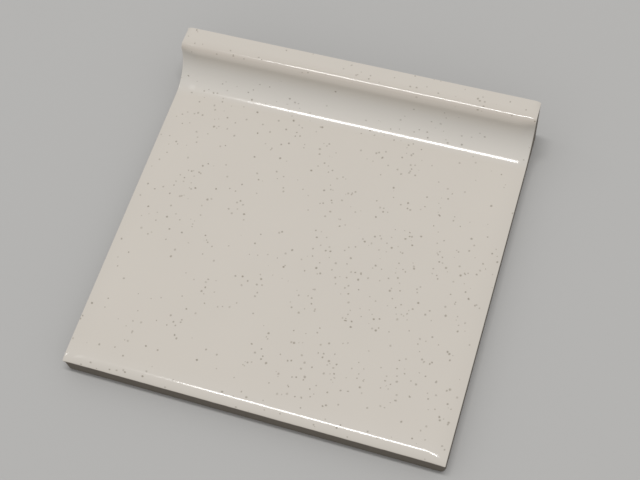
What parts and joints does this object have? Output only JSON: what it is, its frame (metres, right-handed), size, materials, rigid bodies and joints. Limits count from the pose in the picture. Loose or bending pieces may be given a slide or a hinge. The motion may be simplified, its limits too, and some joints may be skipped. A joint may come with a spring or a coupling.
{
  "type": "cove base tile",
  "caption": "Square glazed ceramic skirting tile whose flat speckled face sweeps up in a concave cove to a thick rounded toe, with a rolled bullnose edge opposite and cushioned sides.",
  "frame": {"origin": "centre of the underside, on the plane that the tile lies on and is bedded by", "axes": "+X along the skirting, +Y from the rolled edge to the toe, +Z out of the glazed face"},
  "size_m": [0.1524, 0.151, 0.0249],
  "materials": {
    "glazed_ceramic": "glossy off-white speckled glaze over a pale buff fired body"
  },
  "bodies": {
    "root": {"cove_tile": "glazed_ceramic"}
  },
  "joints": []
}
